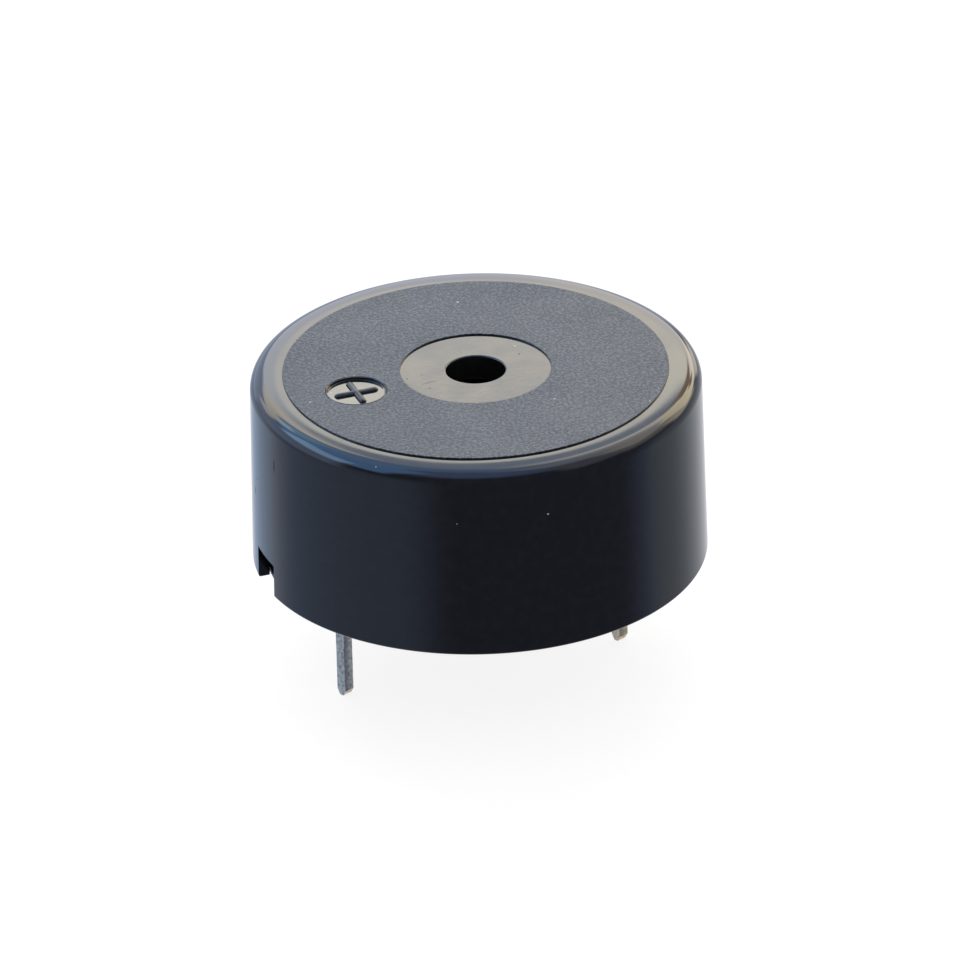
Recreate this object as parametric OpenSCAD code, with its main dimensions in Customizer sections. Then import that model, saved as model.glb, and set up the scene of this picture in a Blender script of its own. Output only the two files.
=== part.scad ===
// Round piezo sounder with two square pins for a printed circuit board.
// The seating plane is Z = 0, the pins point down, and the plus mark is on the -X side.

/* [Housing] */
// Outside diameter of the housing at the seating plane
housing_d = 23.2; // [22.6:0.1:25]
// Height of the housing from the seating plane to its glossy rim
housing_h = 10.1; // [9.7:0.1:12]
// How far the moulding draft brings the wall in from bottom to top
draft_in = 0.18; // [0.05:0.01:0.4]
// Thickness of the side wall round the board and the diaphragm
wall_t = 1.3; // [1.1:0.1:1.5]
// Thickness of the thinner wall round the base plate
skirt_t = 0.6; // [0.5:0.05:0.8]
// Thickness of the top wall
top_t = 1.3; // [1.1:0.1:1.6]
// Depth of the sound chamber above the diaphragm
chamber_depth = 1.8; // [1.4:0.1:2.2]
// Width of the ledge that carries the edge of the diaphragm
ledge_w = 1.5; // [1.2:0.1:2]

/* [Top edge] */
// Radius of the gentle crown between the flat rim and the corner
crown_r = 12; // [8:0.5:14]
// Angle that the crown turns through before the corner starts
crown_turn = 3; // [1:0.5:4]
// Radius of the corner between the crown and the side wall
corner_r = 0.75; // [0.5:0.05:0.9]

/* [Top face] */
// Distance from the top outline to the outer edge of the textured ring
panel_margin = 1.65; // [1.6:0.01:2]
// Diameter of the smooth field round the sound hole
field_d = 7.64; // [5:0.02:8.4]
// Height of the textured ring above the smooth rim and field
panel_h = 0.08; // [0.05:0.01:0.15]
// Edge break of the textured ring
panel_break = 0.02; // [0.01:0.01:0.04]
// Diameter of the sound hole
hole_d = 3; // [1.5:0.1:4]
// Radius that rounds the upper edge of the sound hole
hole_round = 0.08; // [0.04:0.01:0.15]

/* [Plus mark] */
// Distance of the plus mark from the axis
mark_r = 6.4; // [5.8:0.1:7.2]
// Diameter of the round recess that holds the mark
mark_d = 3; // [2.6:0.1:3.4]
// Depth of the recess below the textured ring
mark_depth = 0.15; // [0.1:0.01:0.25]
// Length of each bar of the cross
bar_l = 2.35; // [1.8:0.05:2.5]
// Width of each bar of the cross
bar_w = 0.42; // [0.35:0.01:0.5]

/* [Notch] */
// Width of the notch in the bottom of the wall
notch_w = 2.4; // [1.6:0.1:3]
// Height of the notch
notch_h = 1.8; // [1:0.1:1.9]

/* [Base plate] */
// Thickness of the base plate over its ring and its bosses
base_t = 2; // [2:0.1:2.4]
// Thickness of the flange that closes the bottom of the housing
flange_t = 0.35; // [0.25:0.05:0.5]
// Width of the flange outside the ring
flange_w = 0.35; // [0.25:0.05:0.4]
// Width of the ring that bears on the circuit board
ring_w = 1.4; // [1:0.1:1.6]
// Depth of the dished panel in the underside
dish_depth = 0.4; // [0.2:0.1:0.6]
// Thickness of the dished panel
panel_t = 1; // [0.8:0.1:1.2]
// Diameter of the boss round each pin
boss_d = 2.6; // [2:0.1:3]
// Free space between the flange and the housing
flange_gap = 0.05; // [0.02:0.01:0.1]
// Height of the open groove between the flange and the seal
seal_rise = 0.4; // [0.2:0.1:0.8]

/* [Pins] */
// Distance from the outside of the housing to the middle of each pin, which are then 15 mm apart
pin_inset = 4.1; // [3.8:0.1:5]
// Side of the square pin
pin_w = 0.6; // [0.5:0.01:0.7]
// Length of each pin below the seating plane
pin_l = 7; // [3:0.5:12]
// Length of each pin above the circuit board
pin_top_l = 0.8; // [0.6:0.1:1.2]
// Height of the chisel point
pin_point_h = 0.3; // [0.1:0.05:0.6]
// Flat left at the end of the chisel point
pin_point_w = 0.24; // [0.1:0.02:0.4]
// Turn of the square pins about their own axes
pin_turn = 25; // [0:5:45]
// Free space on each side of a pin in the base plate
pin_fit = 0.02; // [0.01:0.01:0.05]

/* [Diaphragm] */
// Free space between the diaphragm's edge and the housing
diaphragm_gap = 0.3; // [0.2:0.05:0.5]
// Thickness of the brass diaphragm
diaphragm_t = 0.2; // [0.1:0.05:0.3]
// Width of the bare brass round the ceramic disc
brass_rim = 3; // [2.6:0.1:4]
// Thickness of the piezo ceramic disc
ceramic_t = 0.2; // [0.1:0.05:0.3]
// Bare rim of the ceramic outside its silver electrodes
electrode_margin = 0.5; // [0.3:0.1:0.8]
// Thickness of the silver electrodes and the copper foil
foil_t = 0.05; // [0.03:0.01:0.1]
// Distance from the edge of the silver to the middle of each joint on it
joint_inset = 1.6; // [1.2:0.1:2]
// Width of the tongue that picks up the feedback signal
tongue_w = 2.6; // [2:0.1:3.4]
// Distance from the axis to the rounded end of the tongue
tongue_start = 1.6; // [1:0.1:2.4]
// Bare line between the two electrodes
electrode_gap = 0.5; // [0.3:0.05:0.8]
// Size of the adhesive bead that holds the diaphragm
bead = 0.9; // [0.6:0.1:1]

/* [Circuit board] */
// Free space between the board's edge and the housing
board_gap = 0.3; // [0.2:0.05:0.5]
// Thickness of the circuit board
board_t = 1; // [0.8:0.1:1.2]
// Diameter of the holes that the pins pass through
pin_hole_d = 1.05; // [1.02:0.01:1.2]
// Width of the copper tracks
track_w = 0.8; // [0.5:0.1:1]
// Diameter of the copper land round each pin
pin_land_d = 2.4; // [2:0.1:2.8]
// Diameter of the copper lands for the wires
wire_land_d = 1.8; // [1.5:0.1:2.2]
// Distance from the board's edge to the middle of each wire's land
wire_land_inset = 2.8; // [2:0.1:3.2]

/* [Components] */
// Length of the chip resistors
chip_l = 2; // [1.6:0.1:2.2]
// Width of the chip resistors
chip_w = 1.25; // [0.8:0.05:1.4]
// Height of the chip resistors
chip_h = 0.5; // [0.4:0.05:0.6]
// Length of the plated ends of the chip resistors
chip_end_l = 0.35; // [0.2:0.05:0.5]
// Length of the transistor's moulded body
driver_l = 2.9; // [2.7:0.1:3.1]
// Width of the transistor's moulded body
driver_w = 1.3; // [1.2:0.05:1.4]
// Height of the transistor's moulded body
driver_h = 1; // [0.8:0.1:1.1]
// Span across the transistor's leads
driver_span = 2.4; // [2.2:0.1:2.6]
// Distance between the two leads on one side
lead_pitch = 1.9; // [1.8:0.1:2]
// Width of a transistor lead
lead_w = 0.4; // [0.3:0.05:0.5]
// Thickness of a transistor lead
lead_t = 0.12; // [0.1:0.01:0.15]

/* [Wires] */
// Diameter of the insulated wires
wire_d = 0.5; // [0.3:0.05:0.6]
// Diameter of each solder joint
joint_d = 1.4; // [1.1:0.1:1.5]
// Height of each solder joint
joint_h = 0.45; // [0.3:0.05:0.6]
// Height of the solder fillet round each pin
pin_solder_h = 0.55; // [0.3:0.05:0.6]

/* [Hidden] */
$fn = 96;

// Overlap that lets a cut run past the face it opens
cut = 1;

// Point at a distance from the axis and at an angle from +X
function polar(radius, angle) = radius * [cos(angle), sin(angle)];

// Radii of the housing
base_r = housing_d / 2;
top_r = base_r - draft_in;
bore_r = base_r - wall_t;
skirt_r = base_r - skirt_t;
chamber_r = bore_r - ledge_w;
draft = atan(draft_in / housing_h);

// Centres of the two arcs of the top edge, which meet smoothly
corner_z = housing_h - crown_r + (crown_r - corner_r) * cos(crown_turn);
corner_x = (base_r * cos(draft) - corner_r - corner_z * sin(draft)) / cos(draft);
corner_c = [corner_x, corner_z];
crown_c = corner_c - (crown_r - corner_r) * [sin(crown_turn), cos(crown_turn)];
wall_touch = corner_c + corner_r * [cos(draft), sin(draft)];

// Radii of the raised ring on the top face
panel_outer_r = top_r - panel_margin;
panel_inner_r = field_d / 2;
panel_z = housing_h + panel_h;
mark_floor_z = panel_z - mark_depth;

// Radii and heights of the base plate
plate_r = skirt_r - flange_gap - flange_w;
flange_r = skirt_r - flange_gap;
ring_inner_r = plate_r - ring_w;
panel_top_z = dish_depth + panel_t;

// Levels of the inner stack, from the ledge down and from the board up
ledge_z = housing_h - top_t - chamber_depth;
diaphragm_z = ledge_z - diaphragm_t;
ceramic_z = diaphragm_z - ceramic_t;
electrode_z = ceramic_z - foil_t;
board_top_z = base_t + board_t;
foil_top_z = board_top_z + foil_t;
diaphragm_r = bore_r - diaphragm_gap;
board_r = bore_r - board_gap;
ceramic_r = diaphragm_r - brass_rim;
electrode_r = ceramic_r - electrode_margin;
joint_top_d = wire_d + 0.1;
pin_solder_d = pin_land_d - 0.4;

// Places of the pins and of the components on the board, seen from above
positive_at = [pin_inset - base_r, 0];
negative_at = -positive_at;
load_at = [-1.8, 0.6];
bias_at = [-1.8, -3];
feedback_at = [0.1, -5.1];
driver_at = [2, -2];
drive_land_at = [2, 2.5];
feedback_land_at = polar(board_r - wire_land_inset, -114);
ground_land_at = polar(board_r - wire_land_inset, 40);

// Ends and leads of those components
chip_reach = (chip_l - chip_end_l) / 2;
lead_reach = driver_span / 2 - lead_w / 2;
collector_at = driver_at + [0, lead_reach];
base_lead_at = driver_at + [-lead_pitch / 2, -lead_reach];
emitter_at = driver_at + [lead_pitch / 2, -lead_reach];
chip_pad = [1.1, 1.5];
lead_pad = [0.9, 1];
driver_lift = 0.1;

// How far the transistor's body narrows from its parting line to its two faces
driver_taper = driver_h / 8;

// Places of the wire joints on the underside of the diaphragm
drive_joint_at = polar(electrode_r - joint_inset, 53);
feedback_joint_at = polar(electrode_r - joint_inset, -90);
ground_joint_at = polar((ceramic_r + bore_r - bead) / 2, 52);

// Facets of a wire: sides round it and rings along it
wire_sides = 8;
wire_rings = 9;

// Half section under the gentle crown, out to where the corner takes over
module crown_section() {
    intersection() {
        translate(crown_c) circle(r = crown_r);
        translate([crown_c[0], corner_z]) square([crown_r * sin(crown_turn), crown_r]);
    }
}

// Half section of the outside of the housing
module outside_section() {
    polygon([[0, 0], [base_r, 0], wall_touch, corner_c, [crown_c[0], housing_h], [0, housing_h]]);
    crown_section();
    translate(corner_c) circle(r = corner_r);
    panel_section();
}

// Half section of the raised textured ring
module panel_section() {
    polygon([
        [panel_inner_r, housing_h - top_t / 2],
        [panel_inner_r, panel_z - panel_break],
        [panel_inner_r + panel_break, panel_z],
        [panel_outer_r - panel_break, panel_z],
        [panel_outer_r, panel_z - panel_break],
        [panel_outer_r, housing_h - top_t / 2]
    ]);
}

// Half section of the sound hole with its rounded upper edge
module hole_section() {
    hole_r = hole_d / 2;
    square([hole_r, housing_h + cut]);
    translate([hole_r, housing_h - hole_round]) difference() {
        square([hole_round, hole_round + cut]);
        translate([hole_round, 0]) circle(r = hole_round);
    }
}

// Half section of the housing's round hollow: skirt, bore, chamber and sound hole
module hollow_section() {
    translate([0, -cut]) square([skirt_r, base_t + cut]);
    square([bore_r, ledge_z]);
    square([chamber_r, housing_h - top_t]);
    hole_section();
}

// One half-round bar of the plus mark, lying along X with its ridge at the top of the ring
module mark_bar() {
    bar_r = bar_w / 2;
    rotate([0, 90, 0]) rotate_extrude() intersection() {
        union() {
            translate([0, bar_r - bar_l / 2]) circle(r = bar_r);
            translate([0, bar_l / 2 - bar_r]) circle(r = bar_r);
            translate([-bar_r, bar_r - bar_l / 2]) square([bar_w, bar_l - bar_w]);
        }
        translate([0, -bar_l]) square([bar_w, 2 * bar_l]);
    }
}

module housing() {
    color("#1b1c20") union() {
        difference() {
            rotate_extrude() difference() {
                outside_section();
                hollow_section();
            }
            translate([-mark_r, 0, mark_floor_z]) cylinder(d = mark_d, h = mark_depth + cut);
            translate([-base_r - cut, -notch_w / 2, -cut])
                cube([2 * cut + skirt_t, notch_w, notch_h + cut]);
        }
        for (turn = [0, 90])
            translate([-mark_r, 0, panel_z - bar_w / 2]) rotate([0, 0, turn]) mark_bar();
    }
}

// Square hole for a pin, through the full base plate
module pin_passage(at) {
    side = pin_w + 2 * pin_fit;
    translate([at[0], at[1], base_t / 2]) rotate([0, 0, pin_turn])
        cube([side, side, base_t + 2 * cut], center = true);
}

module base_plate() {
    color("#1f1f22") difference() {
        union() {
            rotate_extrude() polygon([
                [0, dish_depth], [ring_inner_r, dish_depth], [ring_inner_r, 0], [flange_r, 0],
                [flange_r, flange_t], [plate_r, flange_t], [plate_r, base_t],
                [ring_inner_r, base_t], [ring_inner_r, panel_top_z], [0, panel_top_z]
            ]);
            for (at = [positive_at, negative_at])
                translate([at[0], at[1], 0]) cylinder(d = boss_d, h = base_t);
        }
        for (at = [positive_at, negative_at]) pin_passage(at);
    }
}

// Adhesive ring that fills the groove between the base plate and the housing
module base_seal() {
    bottom = flange_t + seal_rise;
    color("#141416") rotate_extrude()
        translate([plate_r, bottom]) square([skirt_r - plate_r, base_t - bottom]);
}

// Square pin with a chisel point at each end
module pin(at) {
    top = board_top_z + pin_top_l;
    side = pin_w / 2;
    point = pin_point_w / 2;
    translate([at[0], at[1], 0]) rotate([0, 0, pin_turn]) rotate([90, 0, 90])
        linear_extrude(height = pin_w, center = true) polygon([
            [-point, -pin_l], [point, -pin_l], [side, pin_point_h - pin_l],
            [side, top - pin_point_h], [point, top], [-point, top],
            [-side, top - pin_point_h], [-side, pin_point_h - pin_l]
        ]);
}

module positive_pin() {
    color("#b9bcbe") pin(positive_at);
}

module negative_pin() {
    color("#b9bcbe") pin(negative_at);
}

module circuit_board() {
    color("#b98a4a") translate([0, 0, base_t]) difference() {
        cylinder(r = board_r, h = board_t);
        for (at = [positive_at, negative_at])
            translate([at[0], at[1], -cut]) cylinder(d = pin_hole_d, h = board_t + 2 * cut);
    }
}

// Straight track with round ends, from one point to another
module track(from, to) {
    run = to - from;
    translate(from) rotate(atan2(run[1], run[0])) translate([0, -track_w / 2]) square([norm(run), track_w]);
    translate(from) circle(d = track_w);
    translate(to) circle(d = track_w);
}

// Land for one soldered end, centred on a point
module land(at, size) {
    translate(at) square(size, center = true);
}

// Land round one pin
module pin_land(at) {
    translate(at) circle(d = pin_land_d);
}

// Land for one wire
module wire_land(at) {
    translate(at) circle(d = wire_land_d);
}

// Tracks fed by the positive pin
module supply_net() {
    pin_land(positive_at);
    for (at = [load_at, bias_at]) {
        track(positive_at, at - [chip_reach, 0]);
        land(at - [chip_reach, 0], chip_pad);
    }
}

// Tracks between the load resistor, the collector and the drive wire
module drive_net() {
    land(load_at + [chip_reach, 0], chip_pad);
    land(collector_at, lead_pad);
    wire_land(drive_land_at);
    track(load_at + [chip_reach, 0], collector_at);
    track(collector_at, drive_land_at);
}

// Tracks between the bias resistor, the feedback resistor and the base lead
module bias_net() {
    branch = [feedback_at[0], base_lead_at[1]];
    land(bias_at + [chip_reach, 0], chip_pad);
    land(base_lead_at, lead_pad);
    land(feedback_at + [0, chip_reach], [chip_pad[1], chip_pad[0]]);
    track(bias_at + [chip_reach, 0], base_lead_at);
    track(branch, feedback_at + [0, chip_reach]);
}

// Tracks between the feedback resistor and the feedback wire
module feedback_net() {
    land(feedback_at - [0, chip_reach], [chip_pad[1], chip_pad[0]]);
    wire_land(feedback_land_at);
    track(feedback_at - [0, chip_reach], feedback_land_at);
}

// Tracks between the emitter, the negative pin and the ground wire
module ground_net() {
    land(emitter_at, lead_pad);
    pin_land(negative_at);
    wire_land(ground_land_at);
    track(emitter_at, negative_at);
    track(negative_at, ground_land_at);
}

module copper_tracks() {
    color("#c47b48") translate([0, 0, board_top_z]) linear_extrude(height = foil_t) difference() {
        union() {
            supply_net();
            drive_net();
            bias_net();
            feedback_net();
            ground_net();
        }
        for (at = [positive_at, negative_at]) translate(at) circle(d = pin_hole_d);
    }
}

// Solder fillet round one pin, on its copper land
module pin_solder(at) {
    foot_r = pin_solder_d / 2;
    neck_r = pin_w;
    translate([at[0], at[1], foil_top_z]) difference() {
        rotate_extrude() polygon([
            [0, 0], [foot_r, 0], [(foot_r + neck_r) / 2, pin_solder_h / 4],
            [neck_r, pin_solder_h], [0, pin_solder_h]
        ]);
        rotate([0, 0, pin_turn]) cube([pin_w, pin_w, 4 * pin_solder_h], center = true);
    }
}

module positive_pin_solder() {
    color("#c3c5c6") pin_solder(positive_at);
}

module negative_pin_solder() {
    color("#c3c5c6") pin_solder(negative_at);
}

module diaphragm_plate() {
    color("#c9a85a") translate([0, 0, diaphragm_z]) cylinder(r = diaphragm_r, h = diaphragm_t);
}

// Bead in the corner under the diaphragm's edge, which also fills the gap beside it
module diaphragm_adhesive() {
    color("#d8d8d2") rotate_extrude() {
        intersection() {
            translate([bore_r, diaphragm_z]) circle(r = bead);
            translate([bore_r - bead, diaphragm_z - bead]) square(bead);
        }
        translate([diaphragm_r, diaphragm_z - bead / 2])
            square([bore_r - diaphragm_r, diaphragm_t + bead / 2]);
    }
}

module piezo_ceramic() {
    color("#cfc3a4") translate([0, 0, ceramic_z]) cylinder(r = ceramic_r, h = ceramic_t);
}

// Outline of the feedback tongue, grown by a margin on every side
module tongue(grow) {
    width = tongue_w + 2 * grow;
    end_y = -tongue_start - tongue_w / 2;
    translate([-width / 2, end_y - ceramic_r]) square([width, ceramic_r]);
    translate([0, end_y]) circle(d = width);
}

module main_electrode() {
    color("#dcdcdc") translate([0, 0, electrode_z]) linear_extrude(height = foil_t) difference() {
        circle(r = electrode_r);
        tongue(electrode_gap);
    }
}

module feedback_electrode() {
    color("#dcdcdc") translate([0, 0, electrode_z]) linear_extrude(height = foil_t) intersection() {
        circle(r = electrode_r);
        tongue(0);
    }
}

// Moulded body, widest at its parting line
module driver_transistor() {
    half = driver_w / 2;
    waist = half - driver_taper;
    color("#232326") translate([driver_at[0], driver_at[1], foil_top_z + driver_lift])
        rotate([90, 0, 90]) linear_extrude(height = driver_l, center = true) polygon([
            [-waist, 0], [waist, 0], [half, driver_h / 2],
            [waist, driver_h], [-waist, driver_h], [-half, driver_h / 2]
        ]);
}

// Gull-wing lead that leaves the body at its parting line, for the side that sign gives
module driver_lead(at, sign) {
    out = driver_span / 2;
    bend = out - lead_w;
    root = driver_w / 2;
    rise = driver_lift + driver_h / 2;
    low_root = root - 2 * driver_taper * lead_t / driver_h;
    translate([at[0], driver_at[1], foil_top_z]) rotate([90, 0, 90])
        linear_extrude(height = lead_w, center = true) polygon([
            [sign * root, rise], [sign * (bend + lead_t), rise], [sign * (bend + lead_t), lead_t],
            [sign * out, lead_t], [sign * out, 0], [sign * bend, 0],
            [sign * bend, rise - lead_t], [sign * low_root, rise - lead_t]
        ]);
}

module transistor_leads() {
    color("#c9cbcc") {
        driver_lead(collector_at, 1);
        driver_lead(base_lead_at, -1);
        driver_lead(emitter_at, -1);
    }
}

// Chip resistor with plated ends, which stand a little proud of the ceramic
module chip(at, turn) {
    proud = 0.03;
    translate([at[0], at[1], foil_top_z]) rotate([0, 0, turn]) {
        translate([-chip_l / 2, proud - chip_w / 2, proud])
            cube([chip_l, chip_w - 2 * proud, chip_h - 2 * proud]);
        for (side = [-1, 1])
            translate([side * chip_reach - chip_end_l / 2, -chip_w / 2, 0])
                cube([chip_end_l, chip_w, chip_h]);
    }
}

module load_resistor() {
    color("#2b2b2f") chip(load_at, 0);
}

module bias_resistor() {
    color("#2b2b2f") chip(bias_at, 0);
}

module feedback_resistor() {
    color("#2b2b2f") chip(feedback_at, 90);
}

// Solder wedges at both ends of one chip resistor
module chip_solder(at, turn) {
    foot = chip_end_l;
    climb = 0.7 * chip_h;
    translate([at[0], at[1], foil_top_z]) rotate([0, 0, turn]) for (side = [-1, 1])
        rotate([90, 0, 0]) linear_extrude(height = chip_w, center = true) polygon([
            [side * chip_l / 2, 0], [side * (chip_l / 2 + foot), 0], [side * chip_l / 2, climb]
        ]);
}

// Solder wedge at the toe of one transistor lead
module lead_solder(at, sign) {
    out = driver_span / 2;
    translate([at[0], driver_at[1], foil_top_z]) rotate([90, 0, 90])
        linear_extrude(height = lead_w, center = true)
            polygon([[sign * out, 0], [sign * (out + 2 * lead_t), 0], [sign * out, lead_t]]);
}

module component_solder() {
    color("#c3c5c6") {
        chip_solder(load_at, 0);
        chip_solder(bias_at, 0);
        chip_solder(feedback_at, 90);
        lead_solder(collector_at, 1);
        lead_solder(base_lead_at, -1);
        lead_solder(emitter_at, -1);
    }
}

// Point of a smooth curve that leaves the board and meets the diaphragm upright
function wire_point(from, to, t) =
    let (pull = [0, 0, (to[2] - from[2]) / 2])
    pow(1 - t, 3) * from + 3 * t * pow(1 - t, 2) * (from + pull)
    + 3 * pow(t, 2) * (1 - t) * (to - pull) + pow(t, 3) * to;

// Direction of that curve, which stays in the upright plane through both ends
function wire_heading(from, to, t) =
    t == 0 || t == 1
        ? [0, 0, 1]
        : let (step = wire_point(from, to, t + 0.01) - wire_point(from, to, t - 0.01)) step / norm(step);

// Tube with flat upright ends, swept along the curve between two points
module wire(from, to) {
    run = [to[0] - from[0], to[1] - from[1], 0];
    across = [-run[1], run[0], 0] / norm(run);
    points = [for (i = [0 : wire_rings - 1])
        let (t = i / (wire_rings - 1), ahead = wire_heading(from, to, t), side = cross(across, ahead))
        for (k = [0 : wire_sides - 1])
            let (a = 360 * k / wire_sides)
            wire_point(from, to, t) + wire_d / 2 * (cos(a) * across + sin(a) * side)];
    last = wire_sides * (wire_rings - 1);
    polyhedron(points = points, faces = concat(
        [[for (k = [0 : wire_sides - 1]) k]],
        [for (i = [0 : wire_rings - 2], k = [0 : wire_sides - 1])
            let (row = i * wire_sides, next = (k + 1) % wire_sides)
            [row + k, row + wire_sides + k, row + wire_sides + next, row + next]],
        [[for (k = [wire_sides - 1 : -1 : 0]) last + k]]
    ));
}

// Wire between a land on the board and a joint under the diaphragm, whose face is at joint_z
module board_to_joint(land_at, joint_at, joint_z) {
    wire([land_at[0], land_at[1], foil_top_z + joint_h], [joint_at[0], joint_at[1], joint_z - joint_h]);
}

module drive_wire() {
    color("#a8282a") board_to_joint(drive_land_at, drive_joint_at, electrode_z);
}

module feedback_wire() {
    color("#2f5aa0") board_to_joint(feedback_land_at, feedback_joint_at, electrode_z);
}

module ground_wire() {
    color("#1d1d1f") board_to_joint(ground_land_at, ground_joint_at, diaphragm_z);
}

// Solder joint that stands on a face and carries a wire on its flat end
module wire_joint() {
    foot_r = joint_d / 2;
    neck_r = joint_top_d / 2;
    rotate_extrude() polygon([
        [0, 0], [foot_r, 0], [(foot_r + neck_r) / 2, joint_h / 3], [neck_r, joint_h], [0, joint_h]
    ]);
}

// Both joints of one wire: on its land and, upside down, under the diaphragm
module wire_joints(land_at, joint_at, joint_z) {
    translate([land_at[0], land_at[1], foil_top_z]) wire_joint();
    translate([joint_at[0], joint_at[1], joint_z]) rotate([180, 0, 0]) wire_joint();
}

module drive_wire_solder() {
    color("#c3c5c6") wire_joints(drive_land_at, drive_joint_at, electrode_z);
}

module feedback_wire_solder() {
    color("#c3c5c6") wire_joints(feedback_land_at, feedback_joint_at, electrode_z);
}

module ground_wire_solder() {
    color("#c3c5c6") wire_joints(ground_land_at, ground_joint_at, diaphragm_z);
}

housing();
base_plate();
base_seal();
positive_pin();
negative_pin();
circuit_board();
copper_tracks();
positive_pin_solder();
negative_pin_solder();
diaphragm_plate();
diaphragm_adhesive();
piezo_ceramic();
main_electrode();
feedback_electrode();
driver_transistor();
transistor_leads();
load_resistor();
bias_resistor();
feedback_resistor();
component_solder();
drive_wire();
feedback_wire();
ground_wire();
drive_wire_solder();
feedback_wire_solder();
ground_wire_solder();
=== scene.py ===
"""Round piezo buzzer with two square pins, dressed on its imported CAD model.

The frame is the CAD's own: metres, +Z up, the seating plane at Z = 0, both pins on the X axis and
the plus mark on the -X side. Sizes in the classes below are in millimetres, as in the part's source.
"""

import logging
import math
from collections.abc import Callable
from dataclasses import dataclass
from enum import Enum

import bmesh
import bpy
from mathutils import Matrix, Vector


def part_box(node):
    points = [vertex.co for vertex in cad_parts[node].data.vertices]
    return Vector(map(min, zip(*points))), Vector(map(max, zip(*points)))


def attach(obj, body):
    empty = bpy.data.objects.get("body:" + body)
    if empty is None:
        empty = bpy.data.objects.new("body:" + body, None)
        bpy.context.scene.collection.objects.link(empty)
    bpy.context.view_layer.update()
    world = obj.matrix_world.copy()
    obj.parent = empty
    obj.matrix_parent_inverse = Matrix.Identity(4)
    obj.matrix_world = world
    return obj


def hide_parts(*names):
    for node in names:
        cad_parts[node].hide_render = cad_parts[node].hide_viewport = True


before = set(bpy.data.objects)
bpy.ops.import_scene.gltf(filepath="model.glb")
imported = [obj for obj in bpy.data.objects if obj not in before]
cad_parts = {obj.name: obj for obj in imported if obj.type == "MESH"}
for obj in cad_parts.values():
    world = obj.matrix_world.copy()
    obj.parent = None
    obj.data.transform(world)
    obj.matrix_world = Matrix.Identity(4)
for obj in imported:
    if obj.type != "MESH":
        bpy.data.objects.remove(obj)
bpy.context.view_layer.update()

LOG = logging.getLogger("buzzer")
MM = 0.001

PIN_X = 7.5
PIN_TURN = 25.0
# Faces that meet at a smaller angle are shaded as one
SMOOTH_DEGREES = 35
# How far a cutter reaches past what it cuts
OVERSHOOT = 1.0
# Values between which a noise texture mostly stays, and those of its peaks
NOISE_SPAN = (0.3, 0.7)
NOISE_PEAKS = (0.42, 0.7)

Section = list[tuple[float, float]]
Corners = list[tuple[float, float, float]]
Test = Callable[[Vector, Vector], bool]


# Colours and nodes

def linear(colour: str) -> tuple[float, float, float, float]:
    """Turns an sRGB hex colour to the linear one that shaders take.

    Args:
        colour: The colour as "#rrggbb".

    Returns:
        Linear red, green, blue and an alpha of 1.
    """
    parts = [int(colour[k:k + 2], 16) / 255 for k in (1, 3, 5)]
    red, green, blue = (p / 12.92 if p <= 0.04045 else ((p + 0.055) / 1.055) ** 2.4 for p in parts)
    return (red, green, blue, 1.0)


def add_node(tree: bpy.types.NodeTree, kind: str, inputs: dict | None = None, **settings: object) -> bpy.types.Node:
    """Adds one node with its settings, its values and its links.

    Args:
        tree: The node tree that gets the node.
        kind: The node's Blender type.
        inputs: A value or a linked socket for each input, by name or number.
        **settings: The node's own properties.

    Returns:
        The new node.
    """
    made = tree.nodes.new(kind)
    for name, value in settings.items():
        setattr(made, name, value)
    for name, value in (inputs or {}).items():
        if isinstance(value, bpy.types.NodeSocket):
            tree.links.new(value, made.inputs[name])
        else:
            made.inputs[name].default_value = value
    return made


# Modelling by operators

def select_only(piece: bpy.types.Object) -> None:
    """Selects one object alone and makes it the active one.

    Args:
        piece: The object.
    """
    bpy.ops.object.select_all(action="DESELECT")
    piece.select_set(True)
    bpy.context.view_layer.objects.active = piece


def rounded(corners: Corners, steps: int = 5, support: float = 0.02) -> Section:
    """Rounds the corners of a closed section.

    Args:
        corners: Radius from the axis, height and rounding of each corner in turn.
        steps: Straight pieces in each rounding.
        support: Distance from a rounding to the extra point that keeps the flat beside it flat.

    Returns:
        The section's points in the same order.
    """
    points: Section = []
    for k, (r, z, radius) in enumerate(corners):
        here = Vector((r, z))
        if radius == 0:
            points.append((r, z))
            continue
        back = (Vector(corners[k - 1][:2]) - here).normalized()
        ahead = (Vector(corners[(k + 1) % len(corners)][:2]) - here).normalized()
        half = back.angle(ahead) / 2
        reach = radius / math.tan(half)
        centre = here + (back + ahead).normalized() * (radius / math.sin(half))
        first, last = here + back * reach - centre, here + ahead * reach - centre
        sweep = math.pi - 2 * half
        points.append(tuple(here + back * (reach + support)))
        for i in range(steps + 1):
            part = i / steps
            mixed = first * math.sin((1 - part) * sweep) + last * math.sin(part * sweep)
            points.append(tuple(centre + mixed / math.sin(sweep)))
        points.append(tuple(here + ahead * (reach + support)))
    return points


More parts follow.
